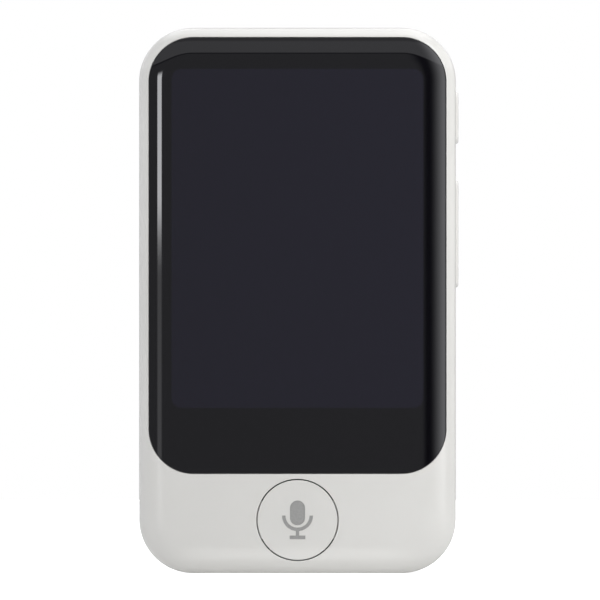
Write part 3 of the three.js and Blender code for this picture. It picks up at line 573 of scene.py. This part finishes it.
def front_housing():
    """The front shell: its lip inside the rear cover, its pockets, the talk button's hole and the bosses."""
    lip_gap, lip_depth, lip_reach = 0.1, 0.65, 0.75
    lip_outer, lip_inner, lip_end = WALL + lip_gap, WALL + lip_depth, PARTING_Y + lip_reach
    hollow = [(CROWN, SEAT_BACK), (3.5, -3.57), (lip_inner, -3.16), (lip_inner, lip_end)]
    lip = [(lip_outer, lip_end), (lip_outer, PARTING_Y), (0.0, PARTING_Y)]
    outer = crown(FRONT_Y + FRONT_CROWN, FRONT_CROWN, -1)
    shell = rounded_loft("Y", BODY, hollow + lip + outer, CORNER, steps=CORNER_STEPS)

    behind_seat = [(0, SEAT_Y), (0, SEAT_BACK + PAST)]
    chin_pocket = rounded_loft("Y", CHIN_POCKET, behind_seat, CHIN_CORNER)
    glass_pocket = rounded_loft(
        "Y",
        grown(GLASS, GLASS_GAP),
        [(0, FRONT_Y - 2 * PAST), (0, SEAT_Y)],
        GLASS_LOWER + GLASS_GAP,
        GLASS_UPPER + GLASS_GAP,
        CORNER_STEPS,
    )
    panel_low, panel_high = box_mm("display_panel")
    panel = ((panel_low[0], panel_high[0]), (panel_low[2], panel_high[2]))
    through_seat = [(0, SEAT_Y - PAST / 2), (0, SEAT_BACK + PAST)]
    window = rounded_loft("Y", grown(panel, PANEL_GAP), through_seat, WINDOW_CORNER)
    gaps = [block(x, (PARTING_Y, 0), z) for x, z in LIP_GAPS]
    shell = cut(shell, chin_pocket, talk_hole(), glass_pocket, window, *gaps)

    bosses = []
    for screw, held, radius, bore, behind in BOSSES:
        top = box_mm(held)[0][1] - BOSS_GAP
        profile = [(bore, SEAT_BACK + BORE_START), (bore, top), (radius, top), (radius, SEAT_Y + behind)]
        bosses.append(round_loft("Y", *middle_xz(screw), profile, COARSE))
    return join(shell, *bosses)


def rear_cover_openings():
    """The cutters for the keys, the tray, the port, the speaker, the microphones and the camera."""
    outside, inside = HALF_WIDTH + PAST, HALF_WIDTH - WALL - PAST / 2
    base = [(0, -PAST), (0, WALL + PAST / 2)]
    tools = []
    for node in ("power_key", "volume_rocker"):
        key = grown(key_outline(node), KEY_GAP)
        tools.append(rounded_loft("X", key, [(0, inside), (0, outside)], KEY_RADIUS + KEY_GAP))
    low, high = box_mm("card_tray")
    gap_y, gap_z, tray_corner = 0.1, 0.12, 0.7
    tray = ((low[1] - gap_y, high[1] + gap_y), (low[2] - gap_z, high[2] + gap_z))
    tools.append(rounded_loft("X", tray, [(0, -outside), (0, -inside)], tray_corner))
    port = grown(port_outline(), PORT_GAP)
    tools.append(rounded_loft("Z", port, base, (port[1][1] - port[1][0]) / 2 - ALMOST))
    for x in SPEAKER_SLOTS:
        slot = ((x - SLOT_HALF_X, x + SLOT_HALF_X), (-SLOT_HALF_Y, SLOT_HALF_Y))
        tools.append(rounded_loft("Z", slot, base, SLOT_HALF_X - ALMOST))
    base_ends = (-PAST, WALL + PAST / 2)
    top_ends = (HEIGHT - WALL - PAST / 2, HEIGHT + PAST)
    for node, ends in (("lower_microphone", base_ends), ("upper_microphone", top_ends)):
        profile = [(MICROPHONE_HOLE, end) for end in ends]
        tools.append(round_loft("Z", middle_xz(node)[0], MICROPHONE_Y, profile, SMALL))
    for node in ("camera_ring", "flash_lens"):
        low, high = box_mm(node)
        radius = (high[0] - low[0]) / 2 + LENS_GAP
        profile = [(radius, REAR_Y - WALL - PAST), (radius, REAR_Y + PAST)]
        tools.append(round_loft("Y", *middle_xz(node), profile, ROUND))
    return tools


def rear_cover():
    """The rear shell with its openings, whose mouths get a small round edge."""
    edge = REAR_Y - REAR_CROWN
    inner = crown(edge, REAR_CROWN - WALL, 1, WALL, CROWN - WALL, 8)[::-1]
    rim = [(WALL, COVER_Y), (0.0, COVER_Y)]
    outer = crown(edge, REAR_CROWN, 1)
    shell = rounded_loft("Y", BODY, inner + rim + outer, CORNER, steps=CORNER_STEPS)
    shell = cut(shell, *rear_cover_openings())
    on_face, off_rim = 0.01, 0.05
    keys_z, base_half, camera_reach = (40, 84), 20, 14

    def on_a_mouth(middle):
        """Whether an edge's middle is on the mouth of an opening in the outer surface."""
        x, y, z = middle
        at_side = abs(abs(x) - HALF_WIDTH) < on_face and keys_z[0] < z < keys_z[1]
        at_end = (z < on_face or z > HEIGHT - on_face) and abs(x) < base_half and abs(y - COVER_Y) > off_rim
        from_camera = math.hypot(x - CAMERA_AT[0], z - CAMERA_AT[1])
        at_rear = y > REAR_Y - on_face and from_camera < camera_reach
        return at_side or at_end or at_rear

    return bevelled(shell, on_a_mouth, 0.08)


def key_outline(node):
    """A side key's outline where it leaves the case, inside its flange."""
    low, high = box_mm(node)
    across = (low[1] + KEY_OVER_Y, high[1] - KEY_OVER_Y)
    return (across, (low[2] + KEY_OVER_Z, high[2] - KEY_OVER_Z))


def port_outline():
    low, high = box_mm("usb_shell")
    return ((low[0], high[0]), (low[1], high[1]))


def middle_xz(node):
    low, high = box_mm(node)
    return (low[0] + high[0]) / 2, (low[2] + high[2]) / 2


CAMERA_AT = middle_xz("camera_ring")
FLASH_AT = middle_xz("flash_lens")


def cover_glass():
    """The glass, which follows the casing's roll to where its face is flat."""
    edge, edge_steps, curve_inset, rows = 0.1, 4, 4.6, 18
    turns = [math.radians(90 * i / edge_steps) for i in range(edge_steps + 1)]
    insets = [(edge * (1 - math.cos(t)), edge * (1 - math.sin(t))) for t in turns]
    insets += [(edge + (curve_inset - edge) * i / rows, 0.0) for i in range(1, rows + 1)]
    rings = [at("Y", rounded(GLASS, GLASS_LOWER, GLASS_UPPER, CORNER_STEPS), GLASS_BACK)]
    for inset, drop in insets:
        outline = grown(GLASS, -inset)
        points = rounded(outline, GLASS_LOWER - inset, GLASS_UPPER - inset, CORNER_STEPS)
        heights = face_y([p[0] for p in points], [p[1] for p in points])
        rings.append([(u, float(h) + drop, v) for (u, v), h in zip(points, heights)])
    return loft(rings)


# ---------------------------------------------------------------- talk button

GLYPH_LINE, GLYPH_REACH, GLYPH_LIFT = 0.55, 2.3, 0.75  # line width, and the arc's radius and height
CAPSULE_HALF, CAPSULE_DOWN, CAPSULE_UP = 1.25, 1.6, 2.5  # its half width, and its ends from the arc's middle
STAND_DROP, FOOT_HALF = 1.35, 1.3
GLYPH_GAP, GLYPH_DEPTH = 0.03, 0.22  # of the recess round the mark


def microphone_glyph(over, y):
    """The microphone mark about the button's axis: its capsule, and its stand."""
    line, lift, foot = GLYPH_LINE / 2 + over, TALK_Z + GLYPH_LIFT, FOOT_HALF + over
    half = CAPSULE_HALF + over
    capsule = ((-half, half), (lift - CAPSULE_DOWN - over, lift + CAPSULE_UP + over))
    body = rounded_loft("Y", capsule, [(0, y[0]), (0, y[1])], half - ALMOST, steps=16)

    inner, outer, base = GLYPH_REACH - line, GLYPH_REACH + line, lift - GLYPH_REACH - STAND_DROP
    turns = [math.radians(180 + 180 * i / 40) for i in range(41)]
    half_stem = math.asin(line / outer)
    right = [t for t in reversed(turns) if t > 1.5 * math.pi + half_stem]
    left = [t for t in reversed(turns) if t < 1.5 * math.pi - half_stem]
    outline = [(inner * math.cos(t), lift + inner * math.sin(t)) for t in turns]
    outline += [(outer * math.cos(t), lift + outer * math.sin(t)) for t in right]
    outline += [(line, lift - outer), (line, base + line), (foot, base + line)]
    outline += [(foot, base - line), (-foot, base - line), (-foot, base + line)]
    outline += [(-line, base + line), (-line, lift - outer)]
    outline += [(outer * math.cos(t), lift + outer * math.sin(t)) for t in left]
    return body, loft([at("Y", outline, w) for w in y])


def talk_button():
    """The cap with the casing's roll across it, its tabs and plunger, and the recess for its mark."""
    edge, edge_steps, rows = 0.06, 4, 16
    turns = [math.radians(90 * i / edge_steps) for i in range(edge_steps + 1)]
    radii = [(TALK_RADIUS - edge * (1 - math.cos(t)), edge * (1 - math.sin(t))) for t in turns]
    level = TALK_RADIUS - (TALK_Z - CROWN) + 0.04
    radii += [(TALK_RADIUS - edge - (level - edge) * i / rows, 0.0) for i in range(1, rows + 1)]
    cap = loft([at("Y", circle(0, TALK_Z, TALK_RADIUS, FINE), TALK_BACK)] + disc_grid(radii))
    tab_front, tab_half, plunger_radius = -4.35, 3.2, 1.2
    tabs = block((talk_low[0], talk_high[0]), (tab_front, TALK_BACK), (TALK_Z - tab_half, TALK_Z + tab_half))
    plunger_ends = [(plunger_radius, TALK_BACK - 0.1), (plunger_radius, talk_high[1])]
    cap = join(cap, tabs, round_loft("Y", 0, TALK_Z, plunger_ends, COARSE))
    return cut(cap, *microphone_glyph(GLYPH_GAP, (FRONT_Y - PAST / 2, FRONT_Y + GLYPH_DEPTH)))


# ---------------------------------------------------------------- side keys

FLANGE_BACK, FLANGE_FRONT = 24.5, 25.05
NUB_END, NUB_RADIUS = 23.75, 0.6
RIB_RADIUS, RIB_HALF = 0.3, 1.0
OVERLAP = 0.1  # how far pieces of one moulding run into each other


def rocker_rib():
    """The round edge the volume rocker turns on, and the web that carries it."""
    low, high = box_mm("volume_rocker")
    y, z = (low[1] + high[1]) / 2, (low[2] + high[2]) / 2
    across = (y - RIB_HALF, y + RIB_HALF)
    pivot_x = low[0] + RIB_RADIUS
    rod = round_loft("Y", pivot_x, z, [(RIB_RADIUS, w) for w in across], SMALL)
    return join(rod, block((pivot_x, FLANGE_BACK + OVERLAP), across, (z - RIB_RADIUS, z + RIB_RADIUS)))


def side_key(node, nubs, *more):
    """A side key with its flange, its crowned edge, and a nub for each switch at `nubs` from its middle."""
    face_x, edge = box_mm(node)[1][0], 0.38
    outline = key_outline(node)
    profile = [(-KEY_OVER_Y, FLANGE_BACK), (-KEY_OVER_Y, FLANGE_FRONT), (0.0, FLANGE_FRONT)]
    key = rounded_loft("X", outline, profile + edge_round(0.0, face_x, edge, 1, 6), KEY_RADIUS, steps=16)
    y, z = (outline[0][0] + outline[0][1]) / 2, (outline[1][0] + outline[1][1]) / 2
    ends = [(NUB_RADIUS, NUB_END), (NUB_RADIUS, FLANGE_BACK + OVERLAP)]
    return join(key, *[round_loft("X", y, z + nub, ends, SMALL) for nub in nubs], *more)


# ---------------------------------------------------------------- snap domes


def snap_dome(node, axis, foot, top):
    """A sprung cap that stands on `foot`: a short rim, then a crown that ends at `top`."""
    low, high = box_mm(node)
    across = [(low[i] + high[i]) / 2 for i in range(3) if "XYZ"[i] != axis]
    radius, rim, steps = (high[2] - low[2]) / 2, 0.2, 8
    profile = [(radius, foot)]
    for i in range(steps):
        turn = math.pi / 2 * i / steps
        rise = rim + (1 - rim) * math.sin(turn)
        profile.append((radius * math.cos(turn), foot + (top - foot) * rise))
    return round_loft(axis, *across, profile, COARSE)


def spring_piece(node, axis, outward_sign):
    """A snap dome standing on its board under a key, in place of its frame node, drawn at rest."""
    low, high = box_mm(node)
    k = "XYZ".index(axis)
    foot, top = (low[k], high[k]) if outward_sign > 0 else (high[k], low[k])
    made = piece(node + "_spring", snap_dome(node, axis, foot, top), STEEL, "case", [node])
    anchor = [v * MM for v in low]
    anchor[k] = foot * MM
    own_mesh(made)


# ---------------------------------------------------------------- port

TONGUE_HALF_X, TONGUE_HALF_Y, TONGUE_ROOT = 3.35, 0.35, 6.0
CONTACT_PITCH, CONTACT_COUNT, CONTACT_HALF, CONTACT_HEIGHT = 0.5, 12, 0.13, 0.03


def usb_shell():
    low, high = box_mm("usb_shell")
    sheet, lip, rounding = 0.3, 0.1, 0.02
    inner = [(sheet, high[2] - sheet), (sheet, low[2] + lip)]
    mouth = [(sheet * 0.75, low[2] + rounding), (sheet / 2, low[2]), (sheet * 0.25, low[2] + rounding)]
    outer = [(0.0, low[2] + lip), (0.0, high[2])]
    radius = (high[1] - low[1]) / 2 - ALMOST
    return rounded_loft("Z", port_outline(), inner + mouth + outer, radius, steps=16)


def usb_tongue():
    low, high = box_mm("usb_tongue")
    y = (low[1] + high[1]) / 2
    tongue = ((-TONGUE_HALF_X, TONGUE_HALF_X), (y - TONGUE_HALF_Y, y + TONGUE_HALF_Y))
    profile = [(0.12, low[2]), (0.0, low[2] + 0.25), (0.0, TONGUE_ROOT)]
    whole = ((low[0], high[0]), (low[1], high[1]))
    root = rounded_loft("Z", whole, [(0, TONGUE_ROOT - OVERLAP), (0, high[2])], 0.3, steps=4)
    return join(rounded_loft("Z", tongue, profile, 0.15, steps=4), root)


def usb_contacts():
    low, high = box_mm("usb_tongue")
    y = (low[1] + high[1]) / 2
    along = (low[2] + 0.45, 5.2)
    strips = []
    for i in range(CONTACT_COUNT):
        x = (i - (CONTACT_COUNT - 1) / 2) * CONTACT_PITCH
        for side in (-1, 1):
            face = y + side * TONGUE_HALF_Y
            across = sorted((face, face + side * CONTACT_HEIGHT))
            strips.append(block((x - CONTACT_HALF, x + CONTACT_HALF), across, along))
    return joined(strips)


# ---------------------------------------------------------------- camera and flash


def tube(at_xz, profile):
    """Circles closed into a loop, for a shape with a hole through it."""
    rings = [at("Y", circle(*at_xz, radius, FINE), w) for radius, w in profile]
    vertices = [p for ring in rings for p in ring]
    faces = []
    for r in range(len(rings)):
        for i in range(FINE):
            j = (i + 1) % FINE
            a, b = r * FINE, (r + 1) % len(rings) * FINE
            faces.append((a + i, a + j, b + j, b + i))
    return mesh_of(vertices, faces)


def camera_ring():
    low, high = box_mm("camera_ring")
    outer, top = (high[0] - low[0]) / 2, high[1]
    inner = outer - 0.5
    profile = [(inner, low[1]), (inner, top - 0.22), (inner + 0.12, top - 0.04), (inner + 0.2, top)]
    profile += [(outer - 0.12, top), (outer - 0.03, top - 0.05), (outer, top - 0.15), (outer, low[1])]
    return tube(CAMERA_AT, profile)


def camera_window():
    """The black mask glass with a clear round opening."""
    low, high = box_mm("camera_window")
    outer, aperture, top = (high[0] - low[0]) / 2, 1.45, high[1]
    profile = [(aperture, low[1]), (aperture, top - 0.05), (aperture + 0.08, top), (outer - 0.06, top)]
    return tube(CAMERA_AT, profile + [(outer, top - 0.08), (outer, low[1])])


def camera_lens():
    low, high = box_mm("camera_window")
    radius, rise, back, steps = 1.4, 0.35, high[1] - 0.5, 10
    profile = [(radius, low[1]), (radius, back)]
    for i in range(1, steps):
        turn = math.radians(90 * i / steps)
        profile.append((radius * math.cos(turn), back + rise * math.sin(turn)))
    return round_loft("Y", *CAMERA_AT, profile, ROUND)


def flash_lens():
    """The flash window, with the round ridges that spread its light."""
    low, high = box_mm("flash_lens")
    radius, top, edge = (high[0] - low[0]) / 2, high[1], 0.06
    ridges, border, middle, ridge_depth = 5, 0.2, 0.25, 0.09
    step = (radius - 0.3) / (ridges + 0.5)
    profile = [(radius, low[1]), (radius, top - edge), (radius - edge, top)]
    for i in range(ridges):
        r = radius - border - i * step
        profile += [(r, top), (r - 0.02, top - ridge_depth)]
    profile.append((middle, top - 0.02))
    return round_loft("Y", *FLASH_AT, profile, ROUND)


# ---------------------------------------------------------------- card tray

CARD_GAP = 0.1
CARRIER_Y, CARRIER_HALF = (-1.65, -0.75), 5.6
PIN_RADIUS, PIN_Y, PIN_LIFT, PIN_DEPTH = 0.4, -1.2, 5.0, 2.2


def card_tray():
    low, high = box_mm("card_tray")
    face_x, z = low[0], (low[2] + high[2]) / 2
    face = ((low[1], high[1]), (low[2], high[2]))
    plate_thick, edge, corner = 1.2, 0.1, 0.6
    profile = [(0.0, face_x + plate_thick)] + edge_round(0.0, face_x, edge, -1, 3)
    plate = rounded_loft("X", face, profile, corner, steps=8)
    carrier_x = (face_x + plate_thick - OVERLAP, high[0])
    tray = join(plate, block(carrier_x, CARRIER_Y, (z - CARRIER_HALF, z + CARRIER_HALF)))
    card_low, card_high = box_mm("sim_card")
    pocket = block(
        (card_low[0] - CARD_GAP, card_high[0] + CARD_GAP),
        (card_low[1] - 0.04, 0),
        (card_low[2] - CARD_GAP, card_high[2] + CARD_GAP),
    )
    pin_ends = [(PIN_RADIUS, face_x - PAST), (PIN_RADIUS, face_x + PIN_DEPTH)]
    return cut(tray, pocket, round_loft("X", PIN_Y, z + PIN_LIFT, pin_ends, SMALL))


def sim_card():
    """The card, with one corner cut off and the others rounded by a short facet each."""
    low, high = box_mm("sim_card")
    notch, r, facet = 1.6, 0.5, 0.15
    outline = [(low[0] + r, low[2]), (high[0] - notch, low[2]), (high[0], low[2] + notch)]
    outline += [(high[0], high[2] - r), (high[0] - facet, high[2] - facet), (high[0] - r, high[2])]
    outline += [(low[0] + r, high[2]), (low[0] + facet, high[2] - facet), (low[0], high[2] - r)]
    outline += [(low[0], low[2] + r), (low[0] + facet, low[2] + facet)]
    return loft([at("Y", outline, w) for w in (low[1], high[1])])


def sim_contacts():
    """The six gold pads on the card's rear face."""
    face = box_mm("sim_card")[1][1]
    middle_x, middle_z = middle_xz("sim_card")
    half_x, half_z, pitch_x, pitch_z, height = 1.7, 1.1, 2.6, 2.5, 0.012
    pads = []
    for row in (-1, 0, 1):
        for side in (-1, 1):
            x, z = middle_x + side * pitch_x, middle_z + row * pitch_z
            pads.append(block((x - half_x, x + half_x), (face, face + height), (z - half_z, z + half_z)))
    return joined(pads)


# ---------------------------------------------------------------- the pieces

piece("housing_shell", front_housing(), PEARL, "case", ["front_housing"], on_casing=True)
piece("back_shell", rear_cover(), PEARL, "case", ["rear_cover"], on_casing=True)
piece("curved_glass", cover_glass(), GLASS_MATERIAL, "case", ["cover_glass"], on_casing=True)

piece("talk_cap", talk_button(), PEARL, "talk_button", ["talk_button"], on_casing=True)
MARK_TOP, MARK_BOTTOM = FRONT_Y + 0.005, FRONT_Y + 0.2
capsule_mesh, stand_mesh = microphone_glyph(0.0, (MARK_TOP, MARK_BOTTOM))
piece("talk_mark_capsule", capsule_mesh, GREY, "talk_button", ["talk_icon_capsule"])
piece("talk_mark_stand", stand_mesh, GREY, "talk_button", ["talk_icon_stand"])

piece("power_cap", side_key("power_key", [0]), PEARL, "power_key", ["power_key"])
rocker_mesh = side_key("volume_rocker", [-6.5, 6.5], rocker_rib())
piece("volume_cap", rocker_mesh, PEARL, "volume_rocker", ["volume_rocker"])

spring_piece("talk_dome", "Y", -1)
spring_piece("power_dome", "X", 1)
spring_piece("volume_up_dome", "X", 1)
spring_piece("volume_down_dome", "X", 1)

piece("port_shell", usb_shell(), STEEL, "case", ["usb_shell"])
piece("port_tongue", usb_tongue(), NYLON, "case", ["usb_tongue"])
piece("port_contacts", usb_contacts(), GOLD, "case")

piece("eye_ring", camera_ring(), POLISHED, "case", ["camera_ring"])
piece("eye_glass", camera_window(), LENS, "case", ["camera_window"])
piece("eye_lens", camera_lens(), LENS, "case")
piece("flash_window", flash_lens(), PHOSPHOR, "case", ["flash_lens"])

piece("tray_shell", card_tray(), PEARL, "card_tray", ["card_tray"])
piece("card_body", sim_card(), CARD, "card_tray", ["sim_card"])
piece("card_contacts", sim_contacts(), GOLD, "card_tray")

SLOT_MATERIALS = {
    "shell": PEARL,
    "cover_glass": GLASS_MATERIAL,
    "icon": GREY,
    "display": CELL,
    "backlight": TRAY,
    "steel": STEEL,
    "tape": TAPE,
    "board": BOARD,
    "chip": CHIP,
    "flex": FLEX,
    "battery_foil": FOIL,
    "rubber": RUBBER,
    "nylon": NYLON,
    "lens": LENS,
    "amber": PHOSPHOR,
    "card": CARD,
}
for part in frame["record"]["subparts"]:
    node = frame["nodes"][part["node"]]
    node.data.materials.clear()
    node.data.materials.append(SLOT_MATERIALS[part["material_slot"]])


# ---------------------------------------------------------------- floor, light and camera


FLOOR_RADIUS, FLOOR_THICK, FLOOR_GAP = 330.0, 5.0, 0.02
FLOOR_WHITE, FLOOR_GLOW, FRONT_GLOW = 0.9, 0.08, 1.5  # to the camera, to everything, to reflections


def floor_front_glow(n, position):
    """A painted glow on the floor just in front of the device, seen only in reflections, which its lower
    edge reflects as a painted highlight; dimmer in the first millimetres as painted contact shade.
    """
    split = n.add("ShaderNodeSeparateXYZ")
    n.link(position, split.inputs[0])
    ahead = n.math("SUBTRACT", FRONT_Y * MM, split.outputs[1])
    sideways = n.math("ABSOLUTE", split.outputs[0])
    # painted contact shade: the glow is weaker within a few millimetres of the device's face
    painted_contact_shade = n.ranged(ahead, 0.001, 0.004, 0.3, 1.0)
    fading = n.ranged(ahead, 0.007, 0.022, FRONT_GLOW, 0.0)
    return n.math("MULTIPLY", n.math("MULTIPLY", painted_contact_shade, fading), n.ranged(sideways, 0.012, 0.026, 1.0, 0.1))


def studio():
    """The pale floor, which glows so that it shows as white as the photo's background."""
    heights = (-FLOOR_THICK, -FLOOR_GAP)
    floor_mesh = loft([at("Z", circle(0, 0, FLOOR_RADIUS, FINE), w) for w in heights])
    floor_mesh.transform(Matrix.Scale(MM, 4))
    floor = bpy.data.objects.new("floor", floor_mesh)
    bpy.context.scene.collection.objects.link(floor)
    material, n, shader, position = surface("pale_floor", Roughness=0.9, Specular_IOR_Level=0.1)
    mottle = n.ranged(n.noise(position, 6, 2.0), 0.3, 0.7)
    n.link(n.mix(mottle, rgb(228, 228, 228), rgb(232, 232, 232)), shader.inputs["Base Color"])
    shader.inputs["Emission Color"].default_value = (1, 1, 1, 1)
    rays = n.add("ShaderNodeLightPath").outputs
    near = floor_front_glow(n, position)
    seen = n.math("MULTIPLY", rays["Is Camera Ray"], FLOOR_WHITE)
    glow = n.math("ADD", seen, n.math("MULTIPLY", rays["Is Glossy Ray"], near))
    n.link(n.math("ADD", glow, FLOOR_GLOW), shader.inputs["Emission Strength"])
    floor_mesh.materials.append(material)


def environment():
    """A soft studio round the object, as brightness by direction: azimuth 0 is the camera's side."""
    world = bpy.data.worlds.new("studio")
    bpy.context.scene.world = world
    world.use_nodes = True
    n = Nodes(world.node_tree)
    n.tree.nodes.clear()
    direction = n.add("ShaderNodeTexCoord").outputs["Generated"]
    split = n.add("ShaderNodeSeparateXYZ")
    n.link(direction, split.inputs[0])
    x, y, z = split.outputs
    azimuth = n.math("MULTIPLY", n.math("ARCTAN2", x, n.math("MULTIPLY", y, -1.0)), 180 / math.pi)
    elevation = n.math("MULTIPLY", n.math("ARCSINE", z), 180 / math.pi)

    def box(low, high, soft_low, soft_high, value):
        up = n.ranged(value, low - soft_low, low + soft_low)
        down = n.ranged(value, high - soft_high, high + soft_high, 1.0, 0.0)
        return n.math("MULTIPLY", up, down)

    glossy, soft = 0.0, 0.0
    for for_gloss, for_matt, around, height in ENVIRONMENT:
        share = n.math("MULTIPLY", box(*around, azimuth), box(*height, elevation))
        glossy = n.math("ADD", n.math("MULTIPLY", share, for_gloss), glossy)
        soft = n.math("ADD", n.math("MULTIPLY", share, for_matt), soft)
    rays = n.add("ShaderNodeLightPath").outputs
    seen = rays["Is Glossy Ray"]
    other = n.math("SUBTRACT", 1.0, seen)
    total = n.math("ADD", n.math("MULTIPLY", glossy, seen), n.math("MULTIPLY", soft, other))
    light = n.add("ShaderNodeBackground")
    light.inputs["Color"].default_value = (0.985, 0.99, 1.02, 1.0)
    n.link(total, light.inputs["Strength"])
    backdrop = n.add("ShaderNodeBackground")
    backdrop.inputs["Color"].default_value = (1, 1, 1, 1)
    backdrop.inputs["Strength"].default_value = 1.0
    chooser = n.add("ShaderNodeMixShader")
    n.link(rays["Is Camera Ray"], chooser.inputs[0])
    n.link(light.outputs[0], chooser.inputs[1])
    n.link(backdrop.outputs[0], chooser.inputs[2])
    n.link(chooser.outputs[0], n.add("ShaderNodeOutputWorld").inputs["Surface"])


# Each light: its brightness for reflections and for matt shading, then (from, to, softness at each
# end) in azimuth and in elevation, in degrees.
ENVIRONMENT = [
    (0.34, 0.02, (-54, 6.5, 4, 4.5), (-90, 15.2, 1, 0.5)),
    (9.6, 0.20, (-26.2, -19.2, 0.6, 0.6), (0.75, 7, 0.4, 2)),
    (0.85, 0.05, (-26.2, -19.2, 1.5, 1.5), (-90, 0.75, 1, 0.4)),
    (2.7, 0.02, (28, 45, 14.5, 4), (-90, 70, 1, 20)),
    (0.2, 0.02, (45, 68, 6, 6), (-90, 70, 1, 20)),
    (0.8, 0.02, (68, 110, 6, 10), (-90, 70, 1, 20)),
    (0.9, 2.7, (-118, -58, 8, 6), (-90, 24, 1, 12)),
    (0.84, 0.06, (-179, 179, 1, 1), (16.4, 38, 0.5, 1.5)),
    (0.50, 0.06, (-179, 179, 1, 1), (38, 89, 1.5, 1)),
    (2.40, 1.50, (-179, 179, 1, 1), (57, 89, 7, 1)),
    (0.4, 0.50, (-179, -120, 1, 10), (-90, 70, 1, 20)),
    (0.4, 0.35, (120, 179, 10, 1), (-90, 70, 1, 20)),
]


def softbox(name, place, target, size, watts):
    """A rectangular light that lights matt surfaces and isn't itself reflected."""
    light = bpy.data.lights.new(name, "AREA")
    light.shape = "RECTANGLE"
    light.size, light.size_y = size
    light.energy = watts
    made = bpy.data.objects.new(name, light)
    made.location = place
    made.rotation_euler = (Vector(target) - Vector(place)).to_track_quat("-Z", "Y").to_euler()
    made.visible_camera = False
    made.visible_glossy = False
    bpy.context.scene.collection.objects.link(made)


def camera():
    """Level with the device's middle and square to its display."""
    view_width, distance, lens_sensor = 100.54, 900.0, 36.0
    offset_x, height = 0.42, 45.88
    made = bpy.data.cameras.new("camera")
    made.sensor_width = lens_sensor
    made.lens = lens_sensor * distance / view_width
    made.clip_start, made.clip_end = 0.01, 20
    seat = bpy.data.objects.new("camera", made)
    seat.location = (offset_x * MM, (FRONT_Y - distance) * MM, height * MM)
    seat.rotation_euler = (math.radians(90), 0, 0)
    bpy.context.scene.collection.objects.link(seat)
    bpy.context.scene.camera = seat


studio()
environment()
softbox("key_right", (0.14, -0.18, 0.16), (0, 0, 0.046), (0.12, 0.16), 0.446)
camera()
bpy.context.scene.view_settings.view_transform = "Standard"
